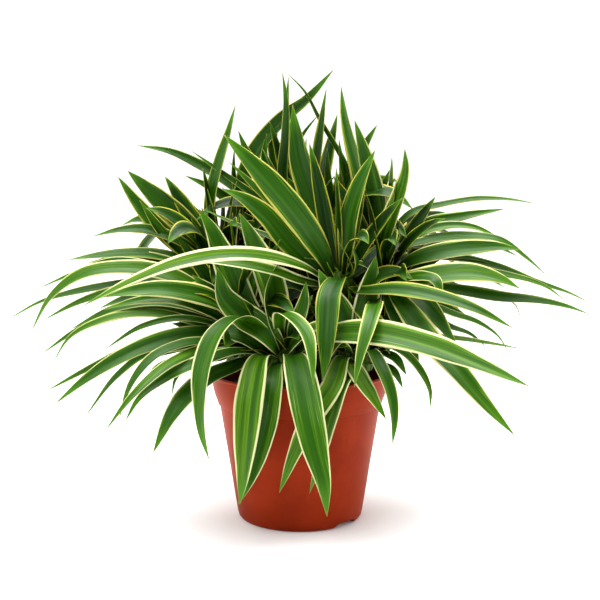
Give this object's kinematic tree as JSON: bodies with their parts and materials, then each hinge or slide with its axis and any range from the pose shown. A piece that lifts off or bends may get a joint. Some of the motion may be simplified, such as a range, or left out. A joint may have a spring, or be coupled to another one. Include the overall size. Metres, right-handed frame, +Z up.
{
  "type": "potted spider plant",
  "caption": "Variegated spider plant with arching green leaves edged in cream, growing in a tapered terracotta-coloured plastic pot.",
  "frame": {"origin": "on the pot's axis at the underside of its foot ring", "axes": "+Z up, front of the plant toward -Y, the widest spread of the leaves along X"},
  "size_m": [0.3912, 0.2364, 0.3053],
  "materials": {
    "pot": "satin moulded plastic, terracotta colour",
    "compost": "damp, rough, granular",
    "crown": "satin leaf sheaths",
    "leaf": "satin, green with cream edges"
  },
  "bodies": {
    "root": {"pot": "pot", "compost": "compost", "front_crown": "crown", "middle_crown": "crown", "right_crown": "crown", "left_crown": "crown", "far_left_crown": "crown", "top_crown": "crown", "far_right_crown": "crown", "low_right_crown": "crown", "back_crown": "crown", "front_leaf_01": "leaf", "front_leaf_02": "leaf", "front_leaf_03": "leaf", "front_leaf_04": "leaf", "front_leaf_05": "leaf", "front_leaf_06": "leaf", "front_leaf_07": "leaf", "front_leaf_08": "leaf", "low_leaf_01": "leaf", "low_leaf_02": "leaf", "low_leaf_03": "leaf", "low_leaf_04": "leaf", "middle_leaf_01": "leaf", "middle_leaf_02": "leaf", "middle_leaf_03": "leaf", "middle_leaf_04": "leaf", "middle_leaf_05": "leaf", "middle_leaf_06": "leaf", "middle_leaf_07": "leaf", "middle_leaf_08": "leaf", "right_leaf_01": "leaf", "right_leaf_02": "leaf", "right_leaf_03": "leaf", "right_leaf_04": "leaf", "right_leaf_05": "leaf", "right_leaf_06": "leaf", "right_leaf_07": "leaf", "right_leaf_08": "leaf", "right_leaf_09": "leaf", "right_leaf_10": "leaf", "left_leaf_01": "leaf", "left_leaf_02": "leaf", "left_leaf_03": "leaf", "left_leaf_04": "leaf", "left_leaf_05": "leaf", "left_leaf_06": "leaf", "far_left_leaf_01": "leaf", "far_left_leaf_02": "leaf", "far_left_leaf_03": "leaf", "far_left_leaf_04": "leaf", "far_left_leaf_05": "leaf", "top_leaf_01": "leaf", "top_leaf_02": "leaf", "top_leaf_03": "leaf", "back_leaf_01": "leaf", "back_leaf_02": "leaf", "back_leaf_03": "leaf", "back_leaf_04": "leaf", "back_leaf_05": "leaf"}
  },
  "joints": []
}
